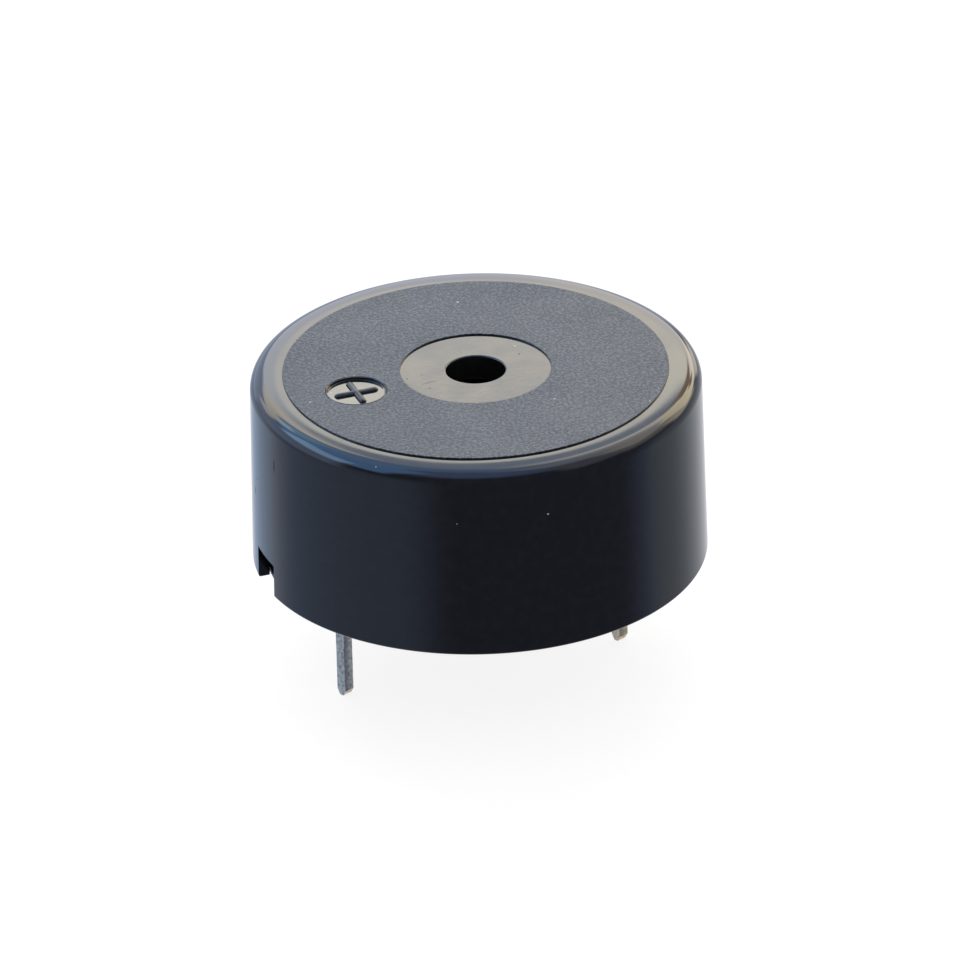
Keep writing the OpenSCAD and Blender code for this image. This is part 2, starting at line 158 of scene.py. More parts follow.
def lathe(name: str, section: Section, steps: int, closed: bool = True) -> bpy.types.Object:
    """Turns a section round the Z axis: one vertex drawn out along it, then spun.

    Args:
        name: Name of the new object.
        section: Radius and height of each point, in millimetres.
        steps: Steps of the full turn.
        closed: True where the last point joins the first, False where both ends lie on the axis.

    Returns:
        The turned object, with its faces outwards.
    """
    bpy.ops.object.select_all(action="DESELECT")
    bpy.ops.mesh.primitive_plane_add(size=MM)
    piece = bpy.context.object
    piece.name = name
    piece.data.name = name
    bpy.ops.object.mode_set(mode="EDIT")
    bpy.ops.mesh.select_mode(type="VERT")
    bpy.ops.mesh.select_all(action="SELECT")
    bpy.ops.mesh.merge(type="CENTER")
    spots = [Vector((r * MM, 0, z * MM)) for r, z in section]
    bpy.ops.transform.translate(value=spots[0])
    for before, after in zip(spots, spots[1:]):
        bpy.ops.mesh.extrude_region_move(TRANSFORM_OT_translate={"value": after - before})
    if closed:
        mesh = bmesh.from_edit_mesh(piece.data)
        min(mesh.verts, key=lambda vert: (vert.co - spots[0]).length).select_set(True)
        bmesh.update_edit_mesh(piece.data)
        bpy.ops.mesh.edge_face_add()
    bpy.ops.mesh.select_all(action="SELECT")
    bpy.ops.mesh.spin(steps=steps, angle=math.tau, center=(0, 0, 0), axis=(0, 0, 1))
    bpy.ops.mesh.select_all(action="SELECT")
    bpy.ops.mesh.remove_doubles(threshold=MM / 2000)
    bpy.ops.mesh.normals_make_consistent(inside=False)
    bpy.ops.object.mode_set(mode="OBJECT")
    return piece


def shift(piece: bpy.types.Object, by: tuple[float, float, float]) -> None:
    """Moves a piece's whole mesh and leaves its object at the origin.

    Args:
        piece: The object to move.
        by: The move, in millimetres.
    """
    select_only(piece)
    bpy.ops.object.mode_set(mode="EDIT")
    bpy.ops.mesh.select_all(action="SELECT")
    bpy.ops.transform.translate(value=Vector(by) * MM)
    bpy.ops.object.mode_set(mode="OBJECT")


def turn(piece: bpy.types.Object, degrees: float, axis: str, centre: tuple[float, float, float] = (0, 0, 0)) -> None:
    """Turns a piece's whole mesh to the left round an axis.

    Args:
        piece: The object to turn.
        degrees: The angle.
        axis: X, Y or Z.
        centre: A point on the axis, in millimetres.
    """
    select_only(piece)
    bpy.ops.object.mode_set(mode="EDIT")
    bpy.ops.mesh.select_all(action="SELECT")
    # Without a window this operator turns the other way
    bpy.ops.transform.rotate(value=-math.radians(degrees), orient_axis=axis, center_override=Vector(centre) * MM)
    bpy.ops.object.mode_set(mode="OBJECT")


def add_modifier(piece: bpy.types.Object, kind: str, **settings: object) -> None:
    """Adds one modifier with its settings and applies it.

    Args:
        piece: The object that it changes.
        kind: The modifier's Blender type.
        **settings: The modifier's own properties.
    """
    select_only(piece)
    bpy.ops.object.modifier_add(type=kind)
    modifier = piece.modifiers[-1]
    for name, value in settings.items():
        setattr(modifier, name, value)
    bpy.ops.object.modifier_apply(modifier=modifier.name)


def join_or_cut(piece: bpy.types.Object, tool: bpy.types.Object, operation: str) -> None:
    """Joins a closed tool body to a piece (UNION) or cuts it away (DIFFERENCE), and removes the tool."""
    add_modifier(piece, "BOOLEAN", operation=operation, solver="EXACT", object=tool)
    bpy.data.objects.remove(tool)


def box(name: str, low: tuple[float, float, float], high: tuple[float, float, float]) -> bpy.types.Object:
    """Makes a block, a start for pins and cutters.

    Args:
        name: Name of the new object.
        low: Its lowest corner, in millimetres.
        high: Its highest corner, in millimetres.

    Returns:
        The block.
    """
    bpy.ops.object.select_all(action="DESELECT")
    bpy.ops.mesh.primitive_cube_add(size=MM)
    piece = bpy.context.object
    piece.name = name
    piece.data.name = name
    bpy.ops.object.mode_set(mode="EDIT")
    bpy.ops.mesh.select_all(action="SELECT")
    bpy.ops.transform.resize(value=Vector(high) - Vector(low))
    bpy.ops.transform.translate(value=(Vector(high) + Vector(low)) * (MM / 2))
    bpy.ops.object.mode_set(mode="OBJECT")
    return piece


def select_faces(piece: bpy.types.Object, wanted: Test) -> None:
    """Selects in edit mode the faces that a test picks, by their middle and normal.

    Args:
        piece: The object, already in edit mode.
        wanted: Function of a face's middle in millimetres and its normal.
    """
    bpy.ops.mesh.select_all(action="DESELECT")
    mesh = bmesh.from_edit_mesh(piece.data)
    for face in mesh.faces:
        face.select_set(bool(wanted(face.calc_center_median() / MM, face.normal)))
    bmesh.update_edit_mesh(piece.data)


def paint_faces(piece: bpy.types.Object, zone: Enum, wanted: Test) -> None:
    """Gives the faces that a test picks the finish of one zone.

    Args:
        piece: The object.
        zone: The zone, whose value is the number of its material slot.
        wanted: Function of a face's middle in millimetres and its normal.
    """
    for face in piece.data.polygons:
        if wanted(face.center / MM, face.normal):
            face.material_index = zone.value


def hand_over(piece: bpy.types.Object, slot_name: str, *nodes: str) -> None:
    """Puts a finished piece on the root body in place of its CAD nodes, and reports it.

    Args:
        piece: The finished object.
        slot_name: Not used.
        *nodes: The CAD nodes that it replaces.
    """
    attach(piece, "root")
    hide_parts(*nodes)
    LOG.info("%s: %d faces, in place of %s", piece.name, len(piece.data.polygons), ", ".join(nodes))


# Finishes

@dataclass(frozen=True)
class Blemish:
    """One speck of dust, nick or scratch: its middle and half sizes in millimetres, turned about Z."""

    place: tuple[float, float, float]
    half: tuple[float, float, float]
    turn: float = 0.0

    def mask(self, tree: bpy.types.NodeTree, place: bpy.types.NodeSocket) -> bpy.types.NodeSocket:
        """Draws the blemish's mask.

        Args:
            tree: The material's node tree.
            place: The position on the object.

        Returns:
            A mask that is 1 in the blemish's middle and fades to 0 at its edge.
        """
        local = add_node(tree, "ShaderNodeMapping", {
            "Vector": place, "Location": Vector(self.place) * MM, "Scale": Vector(self.half) * MM,
            "Rotation": (0, 0, math.radians(self.turn)),
        }, vector_type="TEXTURE").outputs[0]
        away = add_node(tree, "ShaderNodeVectorMath", {0: local}, operation="LENGTH").outputs["Value"]
        return add_node(tree, "ShaderNodeMapRange", {
            "Value": away, "From Min": 1.0, "From Max": 0.5,
        }, interpolation_type="SMOOTHSTEP").outputs[0]


@dataclass(frozen=True)
class BlackAbs:
    """Black ABS as the mould left it, from mirror-polished to spark-eroded, with a pale colour on the grain's peaks
    that on the ring is painted glints.

    Attributes:
        title: Name of the material.
        colour: Colour of the plastic in the grain's hollows.
        pale: Colour on the grain's peaks; on the spark-eroded ring it is painted glints and a painted bluish sheen.
        roughness: Lowest and highest roughness, which drift over the surface.
        grain_mm: Width of one grain of the mould's texture.
        grain_height_mm: Height of that grain.
        drift_mm: Width of the soft patches in which the gloss drifts.
        specular: Specular level of the surface.
        dust: Pale dust on it.
        nicks: Dark nicks and scratches in it.
    """

    title: str
    colour: str
    pale: str
    roughness: tuple[float, float]
    grain_mm: float
    grain_height_mm: float
    drift_mm: float
    specular: float = 0.5
    dust: tuple[Blemish, ...] = ()
    nicks: tuple[Blemish, ...] = ()
    dust_colour: str = "#c3c4bf"
    nick_colour: str = "#050506"

    def material(self) -> bpy.types.Material:
        """Builds the material's nodes.

        Returns:
            The material.
        """
        made = bpy.data.materials.new(self.title)
        made.use_nodes = True
        tree = made.node_tree
        shader = tree.nodes["Principled BSDF"]
        shader.inputs["Specular IOR Level"].default_value = self.specular
        shader.inputs["IOR"].default_value = 1.5
        place = add_node(tree, "ShaderNodeTexCoord").outputs["Object"]
        drift = add_node(tree, "ShaderNodeTexNoise", {
            "Vector": place, "Scale": 1 / (self.drift_mm * MM), "Detail": 3.0, "Roughness": 0.55,
        }).outputs["Fac"]
        grain = add_node(tree, "ShaderNodeTexNoise", {
            "Vector": place, "Scale": 1 / (self.grain_mm * MM), "Detail": 2.0, "Roughness": 0.5,
        }).outputs["Fac"]
        rough = add_node(tree, "ShaderNodeMapRange", {
            "Value": drift, "From Min": NOISE_SPAN[0], "From Max": NOISE_SPAN[1],
            "To Min": self.roughness[0], "To Max": self.roughness[1],
        }).outputs[0]
        peaks = add_node(tree, "ShaderNodeMapRange", {
            "Value": grain, "From Min": NOISE_PEAKS[0], "From Max": NOISE_PEAKS[1],
        }).outputs[0]
        # Pale colour on the grain's peaks: on the spark-eroded ring it is painted glints and a painted bluish sheen
        colour = add_node(tree, "ShaderNodeMix", {
            0: peaks, 6: linear(self.colour), 7: linear(self.pale),
        }, data_type="RGBA").outputs[2]
        for blemishes, shade, dull in ((self.dust, self.dust_colour, 0.8), (self.nicks, self.nick_colour, 0.6)):
            for blemish in blemishes:
                mask = blemish.mask(tree, place)
                colour = add_node(tree, "ShaderNodeMix", {
                    0: mask, 6: colour, 7: linear(shade),
                }, data_type="RGBA").outputs[2]
                rough = add_node(tree, "ShaderNodeMix", {0: mask, 2: rough, 3: dull}).outputs[0]
        bump = add_node(tree, "ShaderNodeBump", {
            "Height": grain, "Strength": 1.0, "Distance": self.grain_height_mm * MM,
        })
        tree.links.new(colour, shader.inputs["Base Color"])
        tree.links.new(rough, shader.inputs["Roughness"])
        tree.links.new(bump.outputs[0], shader.inputs["Normal"])
        return made


class Pattern(Enum):
    """How a finish varies over its surface."""

    CLOUDS = "soft patches, the same in all directions"
    ROLLED = "fine lines along X"


@dataclass(frozen=True)
class Finish:
    """A made material with one fine pattern.

    Attributes:
        title: Name of the material.
        colour: Its main colour.
        second: The colour that the pattern mixes in.
        roughness: Lowest and highest roughness.
        metallic: 1 for bare metal.
        pattern: How it varies.
        grain_mm: Width of one grain or line.
        height_mm: Height of the grain in the surface.
    """

    title: str
    colour: str
    second: str
    roughness: tuple[float, float]
    grain_mm: float
    height_mm: float
    metallic: float = 0.0
    pattern: Pattern = Pattern.CLOUDS

    def material(self) -> bpy.types.Material:
        """Builds the material's nodes.

        Returns:
            The material.
        """
        made = bpy.data.materials.new(self.title)
        made.use_nodes = True
        tree = made.node_tree
        shader = tree.nodes["Principled BSDF"]
        shader.inputs["Metallic"].default_value = self.metallic
        place = add_node(tree, "ShaderNodeTexCoord").outputs["Object"]
        stretch = {Pattern.CLOUDS: (1, 1, 1), Pattern.ROLLED: (0.03, 1, 1)}[self.pattern]
        local = add_node(tree, "ShaderNodeMapping", {"Vector": place, "Scale": stretch}).outputs[0]
        grain = add_node(tree, "ShaderNodeTexNoise", {
            "Vector": local, "Scale": 1 / (self.grain_mm * MM), "Detail": 4.0, "Roughness": 0.6,
        }).outputs["Fac"]
        even = add_node(tree, "ShaderNodeMapRange", {
            "Value": grain, "From Min": NOISE_SPAN[0], "From Max": NOISE_SPAN[1],
        }).outputs[0]
        colour = add_node(tree, "ShaderNodeMix", {
            0: even, 6: linear(self.colour), 7: linear(self.second),
        }, data_type="RGBA").outputs[2]
        rough = add_node(tree, "ShaderNodeMapRange", {
            "Value": even, "To Min": self.roughness[0], "To Max": self.roughness[1],
        }).outputs[0]
        bump = add_node(tree, "ShaderNodeBump", {"Height": grain, "Strength": 1.0, "Distance": self.height_mm * MM})
        tree.links.new(colour, shader.inputs["Base Color"])
        tree.links.new(rough, shader.inputs["Roughness"])
        tree.links.new(bump.outputs[0], shader.inputs["Normal"])
        return made


# Sub-assemblies

class Zone(Enum):
    """Part of the can that its mould gave a finish of its own. The value is its material slot."""

    WALL = 0
    RING = 1
    FIELD = 2
    RECESS = 3
    PLUS = 4


@dataclass
class Housing:
    """Moulded can: drafted wall, crowned edge, raised ring, sound hole, plus mark and notch."""

    base_r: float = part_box("housing")[1].x / MM
    ring_z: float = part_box("housing")[1].z / MM
    draft_in: float = 0.18
    bore_r: float = 10.3
    skirt_r: float = 11.0
    skirt_h: float = 2.0
    chamber_r: float = 8.8
    ledge_z: float = 7.0
    ceiling_z: float = 8.8
    crown_r: float = 12.0
    crown_turn: float = 3.0
    corner_r: float = 0.75
    ring_h: float = 0.08
    ring_outer_r: float = 9.77
    ring_inner_r: float = 3.82
    ring_break: float = 0.02
    hole_r: float = 1.5
    hole_round: float = 0.08
    foot_round: float = 0.12
    inner_round: float = 0.05
    fine_round: float = 0.01
    mark_r: float = 6.4
    mark_d: float = 3.0
    mark_depth: float = 0.15
    seam_w: float = 0.07
    seam_gap: float = 0.015
    bar_l: float = 2.35
    bar_w: float = 0.42
    notch_w: float = 2.4
    notch_h: float = 1.8
    steps: int = 288
    corner_steps: int = 20
    crown_steps: int = 6
    mark_steps: int = 96
    bar_steps: int = 48

    @property
    def rim_z(self) -> float:
        """Height of the flat rim outside the raised ring."""
        return self.ring_z - self.ring_h

    def top_edge(self) -> Section:
        """Works out the small corner and the gentle crown.

        Returns:
            Points from the wall up to the flat rim.
        """
        draft = math.atan(self.draft_in / self.rim_z)
        crown = math.radians(self.crown_turn)
        corner_z = self.rim_z - self.crown_r + (self.crown_r - self.corner_r) * math.cos(crown)
        corner_x = (self.base_r * math.cos(draft) - self.corner_r - corner_z * math.sin(draft)) / math.cos(draft)
        crown_x = corner_x - (self.crown_r - self.corner_r) * math.sin(crown)
        crown_z = self.rim_z - self.crown_r
        upright = math.pi / 2 - draft
        # A point on the wall, just under the corner, keeps the tall wall's shading straight
        out, down = 0.0006, 0.03
        points = [(
            corner_x + self.corner_r * math.cos(draft) + out, corner_z + self.corner_r * math.sin(draft) - down,
        )]
        for k in range(self.corner_steps + 1):
            lean = upright + (crown - upright) * k / self.corner_steps
            points.append((corner_x + self.corner_r * math.sin(lean), corner_z + self.corner_r * math.cos(lean)))
        for k in range(1, self.crown_steps + 1):
            lean = crown * (1 - k / self.crown_steps)
            points.append((crown_x + self.crown_r * math.sin(lean), crown_z + self.crown_r * math.cos(lean)))
        return points

    def section(self) -> Section:
        """Sets out the can's profile.

        Returns:
            Its closed half section.
        """
        edge = [(r, z, 0.0) for r, z in self.top_edge()]
        soft, inner, fine = self.ring_break, self.inner_round, self.fine_round
        return rounded([
            (self.base_r, 0, self.foot_round), *edge,
            (self.ring_outer_r, self.rim_z, fine), (self.ring_outer_r, self.ring_z, soft),
            (self.ring_inner_r, self.ring_z, soft), (self.ring_inner_r, self.rim_z, fine),
            (self.hole_r, self.rim_z, self.hole_round), (self.hole_r, self.ceiling_z, inner),
            (self.chamber_r, self.ceiling_z, 4 * inner), (self.chamber_r, self.ledge_z, inner),
            (self.bore_r, self.ledge_z, 2 * inner), (self.bore_r, self.skirt_h, inner),
            (self.skirt_r, self.skirt_h, inner), (self.skirt_r, 0, inner),
        ])

    def recess_cutter(self) -> bpy.types.Object:
        """Makes the round cutter of the mark's recess.

        Returns:
            The cutter in its place.
        """
        floor, half, soft = self.ring_z - self.mark_depth, self.mark_d / 2, self.inner_round
        # One point in the middle of the rounding between the floor and the wall
        inset = 0.3 * soft
        cutter = lathe("recess_cutter", [
            (0, floor), (half - 2 * soft, floor), (half - soft, floor), (half - inset, floor + inset),
            (half, floor + soft), (half, self.ring_z - self.fine_round),
            (half, self.ring_z + OVERSHOOT), (0, self.ring_z + OVERSHOOT),
        ], self.mark_steps, closed=False)
        shift(cutter, (-self.mark_r, 0, 0))
        return cutter

    def seam_cutter(self) -> bpy.types.Object:
        """Makes the cutter of the fine groove round the recess, where the mould's insert met its block.

        Returns:
            The cutter in its place.
        """
        inner, over = self.mark_d / 2 + self.seam_gap, self.ring_z + 0.1
        middle, outer = inner + self.seam_w / 2, inner + self.seam_w
        cutter = lathe("seam_cutter", [
            (inner, self.ring_z), (middle, self.ring_z - self.seam_w / 2), (outer, self.ring_z),
            (outer, over), (inner, over),
        ], self.mark_steps)
        shift(cutter, (-self.mark_r, 0, 0))
        return cutter

    def mark_bar(self, degrees: float) -> bpy.types.Object:
        """Makes one half-round bar of the plus mark, with ball ends and its ridge level with the ring.

        Args:
            degrees: The bar's direction in the recess.

        Returns:
            The bar in its place.
        """
        radius, straight = self.bar_w / 2, (self.bar_l - self.bar_w) / 2
        arc = [
            (radius * math.cos(math.radians(a)), straight + radius * math.sin(math.radians(a))) for a in range(0, 91, 9)
        ]
        section = [(r, -h) for r, h in reversed(arc)] + [(radius, 0.0)] + arc
        section[0], section[-1] = (0.0, section[0][1]), (0.0, section[-1][1])
        bar = lathe("mark_bar", section, self.bar_steps, closed=False)
        turn(bar, 90, "Y")
        turn(bar, degrees, "Z")
        shift(bar, (-self.mark_r, 0, self.ring_z - radius))
        return bar

    def notch_cutter(self) -> bpy.types.Object:
        """Makes the block that cuts the notch through the skirt.

        Returns:
            The cutter in its place.
        """
        return box(
            "notch_cutter",
            (-self.base_r - OVERSHOOT, -self.notch_w / 2, -OVERSHOOT),
            (OVERSHOOT - self.skirt_r, self.notch_w / 2, self.notch_h),
        )

    def model(self) -> bpy.types.Object:
        """Turns the can, cuts its recess, seam and notch, and adds the bars.

        Returns:
            The can.
        """
        can = lathe("can", self.section(), self.steps)
        join_or_cut(can, self.recess_cutter(), "DIFFERENCE")
        join_or_cut(can, self.seam_cutter(), "DIFFERENCE")
        join_or_cut(can, self.notch_cutter(), "DIFFERENCE")
        for degrees in (0, 90):
            join_or_cut(can, self.mark_bar(degrees), "UNION")
        select_only(can)
        bpy.ops.object.shade_smooth_by_angle(angle=math.radians(SMOOTH_DEGREES))
        return can

    def finishes(self) -> dict[Zone, BlackAbs]:
        """Describes what each part of the mould left on the can, and the painted glints on the ring.

        Returns:
            The finish of each zone.
        """
        return {
            # Polished mould: mirror-like, with the surroundings in sharp bands along the edge
            Zone.WALL: BlackAbs(
                "Polished black ABS", "#101112", "#161718", (0.05, 0.1), grain_mm=0.5, grain_height_mm=0.0003,
                drift_mm=4.0, dust=(
                    Blemish((-9.82, 5.89, 8.43), (0.06, 0.06, 0.06)), Blemish((-8.09, -7.67, 9.91), (0.04, 0.04, 0.04)),
                    Blemish((-0.44, -11.45, 7.55), (0.07, 0.07, 0.05)),
                    Blemish((-4.87, -10.39, 7.38), (0.035, 0.035, 0.035)),
                ), nicks=(
                    Blemish((-11.37, -1.44, 7.6), (0.2, 0.1, 0.5)), Blemish((-11.4, 1.6, 4.76), (0.1, 0.07, 0.25)),
                    Blemish((-11.44, 1.18, 5.6), (0.06, 0.06, 0.09)),
                ),
            ),
            # Spark-eroded mould: a dull grey sheen, partly real rough reflection and partly a painted bluish sheen in
            # the colour, with painted pale glints on the grain's peaks and dark pits. The real grain is about 0.05 mm
            # wide and is drawn 0.15 mm wide, so that it shows
            Zone.RING: BlackAbs(
                "Spark-eroded black ABS with painted glints", "#030506", "#4f5961", (0.36, 0.43), grain_mm=0.15, grain_height_mm=0.018,
                drift_mm=3.0, specular=0.39, dust=(
                    Blemish((1.7, 7.29, 10.18), (0.07, 0.1, 0.1)), Blemish((2.49, -4.71, 10.18), (0.06, 0.06, 0.1)),
                    Blemish((-8.96, -0.28, 10.18), (0.06, 0.06, 0.1)), Blemish((6.82, -6.79, 10.18), (0.06, 0.06, 0.1)),
                ), nicks=(
                    Blemish((5.21, -5.53, 10.18), (0.3, 0.06, 0.1), 40),
                    Blemish((4.77, -4.86, 10.18), (0.16, 0.05, 0.1), 30),
                ),
            ),
            # Finely stoned mould: it mirrors the window as one even sheet, with faint unevenness
            Zone.FIELD: BlackAbs(
                "Satin black ABS", "#0e0f11", "#242325", (0.08, 0.13), grain_mm=0.25, grain_height_mm=0.0018,
                drift_mm=2.0, dust=(
                    Blemish((2.73, 1.69, 10.1), (0.09, 0.09, 0.1)), Blemish((-2.6, -2.1, 10.1), (0.05, 0.05, 0.1)),
                ), nicks=(
                    Blemish((2.62, 0.75, 10.1), (0.1, 0.05, 0.1)), Blemish((-3.55, 0.37, 10.1), (0.06, 0.06, 0.1)),
                    Blemish((-2.71, 0.47, 10.1), (0.05, 0.05, 0.1)), Blemish((-2.83, -1.03, 10.1), (0.08, 0.04, 0.1)),
                    Blemish((-2.64, -0.43, 10.1), (0.55, 0.025, 0.1), 9),
                ),
            ),
            # Lapped end of the mould's insert: the brightest face of the part
            Zone.RECESS: BlackAbs(
                "Bright black ABS", "#101114", "#17181b", (0.06, 0.1), grain_mm=0.2, grain_height_mm=0.0004,
                drift_mm=1.5, specular=0.8, dust=(Blemish((-7.56, 0.54, 10.03), (0.07, 0.07, 0.07)),),
            ),
            # Cut by a round-nosed engraving tool: soft highlights, so the plus stays dark on its bright floor
            Zone.PLUS: BlackAbs(
                "Fine-grained black ABS", "#08090a", "#1b1c1f", (0.26, 0.32), grain_mm=0.12, grain_height_mm=0.006,
                drift_mm=1.5, specular=0.4,
            ),
        }

    def dress(self, can: bpy.types.Object) -> None:
        """Gives each zone of the can the finish that its part of the mould had.

        Args:
            can: The finished can.
        """
        finishes = self.finishes()
        for zone in Zone:
            can.data.materials.append(finishes[zone].material())
        step = self.rim_z + self.ring_h / 2
        floor = self.ring_z - self.mark_depth
        mark = Vector((-self.mark_r, 0))
        near, hair = 0.01, 0.001

        def in_mark(middle: Vector) -> bool:
            """True inside the mark's recess."""
            return (middle.xy - mark).length < self.mark_d / 2 + hair

        def in_seam(middle: Vector, normal: Vector) -> bool:
            """True on the slopes of the groove round the recess."""
            reach = self.mark_d / 2 + 2 * (self.seam_gap + self.seam_w)
            return abs(normal.z) < 0.9 and not in_mark(middle) and (middle.xy - mark).length < reach

        def on_bar(middle: Vector) -> bool:
            """True on the two bars of the plus mark."""
            narrow, long = sorted(abs(off) for off in middle.xy - mark)
            return middle.z > floor + 2 * hair and narrow < self.bar_w / 2 and long < self.bar_l / 2

        field_z, field_r = self.rim_z - self.hole_round, self.ring_inner_r - near
        paint_faces(can, Zone.RING, lambda m, n: m.z > step and not in_mark(m))
        paint_faces(can, Zone.FIELD, lambda m, n: m.z > field_z and m.xy.length < field_r)
        paint_faces(can, Zone.RECESS, lambda m, n: in_mark(m) and m.z > floor - near)
        paint_faces(can, Zone.PLUS, lambda m, n: in_mark(m) and on_bar(m))
        # The groove was stoned as the field was
        paint_faces(can, Zone.FIELD, lambda m, n: m.z > self.rim_z and in_seam(m, n))

    def build(self) -> None:
        """Models and dresses the can and puts it in the frame."""
        can = self.model()
        self.dress(can)
        hand_over(can, "housing_plastic", "housing")


@dataclass
class BasePlate:
    """Moulded plate that closes the bottom: flange, seat ring, dished panel and a boss at each pin."""

    flange_r: float = 10.95
    flange_t: float = 0.35
    plate_r: float = 10.6
    ring_inner_r: float = 9.2
    height: float = 2.0
    dish: float = 0.4
    panel_top: float = 1.4
    boss_r: float = 1.3
    boss_break: float = 0.06
    outer_round: float = 0.08
    inner_round: float = 0.1
    flange_round: float = 0.05
    neck_round: float = 0.03
    pin_x: float = PIN_X
    passage_w: float = 0.64
    pin_turn: float = PIN_TURN
    steps: int = 192
    boss_steps: int = 64

    def section(self) -> Section:
        """Sets out the plate's profile.

        Returns:
            Its half section, from the axis on the underside round to the axis on the top.
        """
        outer, inner = self.outer_round, self.inner_round
        return rounded([
            (0, self.dish, 0), (self.ring_inner_r, self.dish, inner), (self.ring_inner_r, 0, outer),
            (self.flange_r, 0, outer), (self.flange_r, self.flange_t, self.flange_round),
            (self.plate_r, self.flange_t, self.neck_round), (self.plate_r, self.height, outer),
            (self.ring_inner_r, self.height, outer), (self.ring_inner_r, self.panel_top, inner), (0, self.panel_top, 0),
        ])

    def build(self) -> None:
        """Turns the plate, adds the bosses and cuts the square passages."""
        plate = lathe("closing_plate", self.section(), self.steps, closed=False)
        inset, half = self.boss_r - self.boss_break, self.passage_w / 2
        for x in (-self.pin_x, self.pin_x):
            boss = lathe("boss", [
                (0, 0), (inset, 0), (self.boss_r, self.boss_break), (self.boss_r, self.height - self.boss_break),
                (inset, self.height), (0, self.height),
            ], self.boss_steps, closed=False)
            shift(boss, (x, 0, 0))
            join_or_cut(plate, boss, "UNION")
            passage = box("passage", (x - half, -half, -OVERSHOOT), (x + half, half, self.height + OVERSHOOT))
            turn(passage, self.pin_turn, "Z", (x, 0, 0))
            join_or_cut(plate, passage, "DIFFERENCE")
        select_only(plate)
        bpy.ops.object.shade_smooth_by_angle(angle=math.radians(SMOOTH_DEGREES))
        # Moulded, not polished: it has an even dull sheen
        plate.data.materials.append(BlackAbs(
            "Satin-moulded black ABS", "#101012", "#1b1b1d", (0.28, 0.4), 0.18, 0.002, 3.0,
        ).material())
        hand_over(plate, "base_plastic", "base_plate")


@dataclass
class Pin:
    """Square tinned pin, drawn with soft edges and cut to a chisel point at each end."""

    name: str
    node: str
    x: float
    width: float = 0.6
    low: float = -7.0
    high: float = 3.8
    point_h: float = 0.3
    point_w: float = 0.24
    pin_turn: float = PIN_TURN
    edge: float = 0.035
    # Tin-plated and handled: mottled, with dull and bright patches
    finish: Finish = Finish("Tinned wire", "#e4dfcc", "#8f8c82", (0.25, 0.45), 0.18, 0.008, metallic=1.0)

    def build(self) -> None:
        """Models the pin from a block: both ends drawn out and pinched, then all edges softened."""
        half = self.width / 2
        pin = box(
            self.name,
            (self.x - half, -half, self.low + self.point_h), (self.x + half, half, self.high - self.point_h),
        )
        for sign in (-1, 1):
            select_only(pin)
            bpy.ops.object.mode_set(mode="EDIT")
            bpy.ops.mesh.select_mode(type="FACE")
            select_faces(pin, lambda m, n: n.z * sign > 0.9)
            bpy.ops.mesh.extrude_region_move(TRANSFORM_OT_translate={"value": (0, 0, sign * self.point_h * MM)})
            bpy.ops.transform.resize(
                value=(1, self.point_w / self.width, 1), center_override=(self.x * MM, 0, sign * MM),
            )
            bpy.ops.object.mode_set(mode="OBJECT")
        add_modifier(pin, "BEVEL", width=self.edge * MM, segments=3, limit_method="ANGLE", angle_limit=math.radians(20))
        turn(pin, self.pin_turn, "Z", (self.x, 0, 0))
        bpy.ops.object.shade_smooth_by_angle(angle=math.radians(SMOOTH_DEGREES))
        pin.data.materials.append(self.finish.material())
        hand_over(pin, "tinned_pin", self.node)


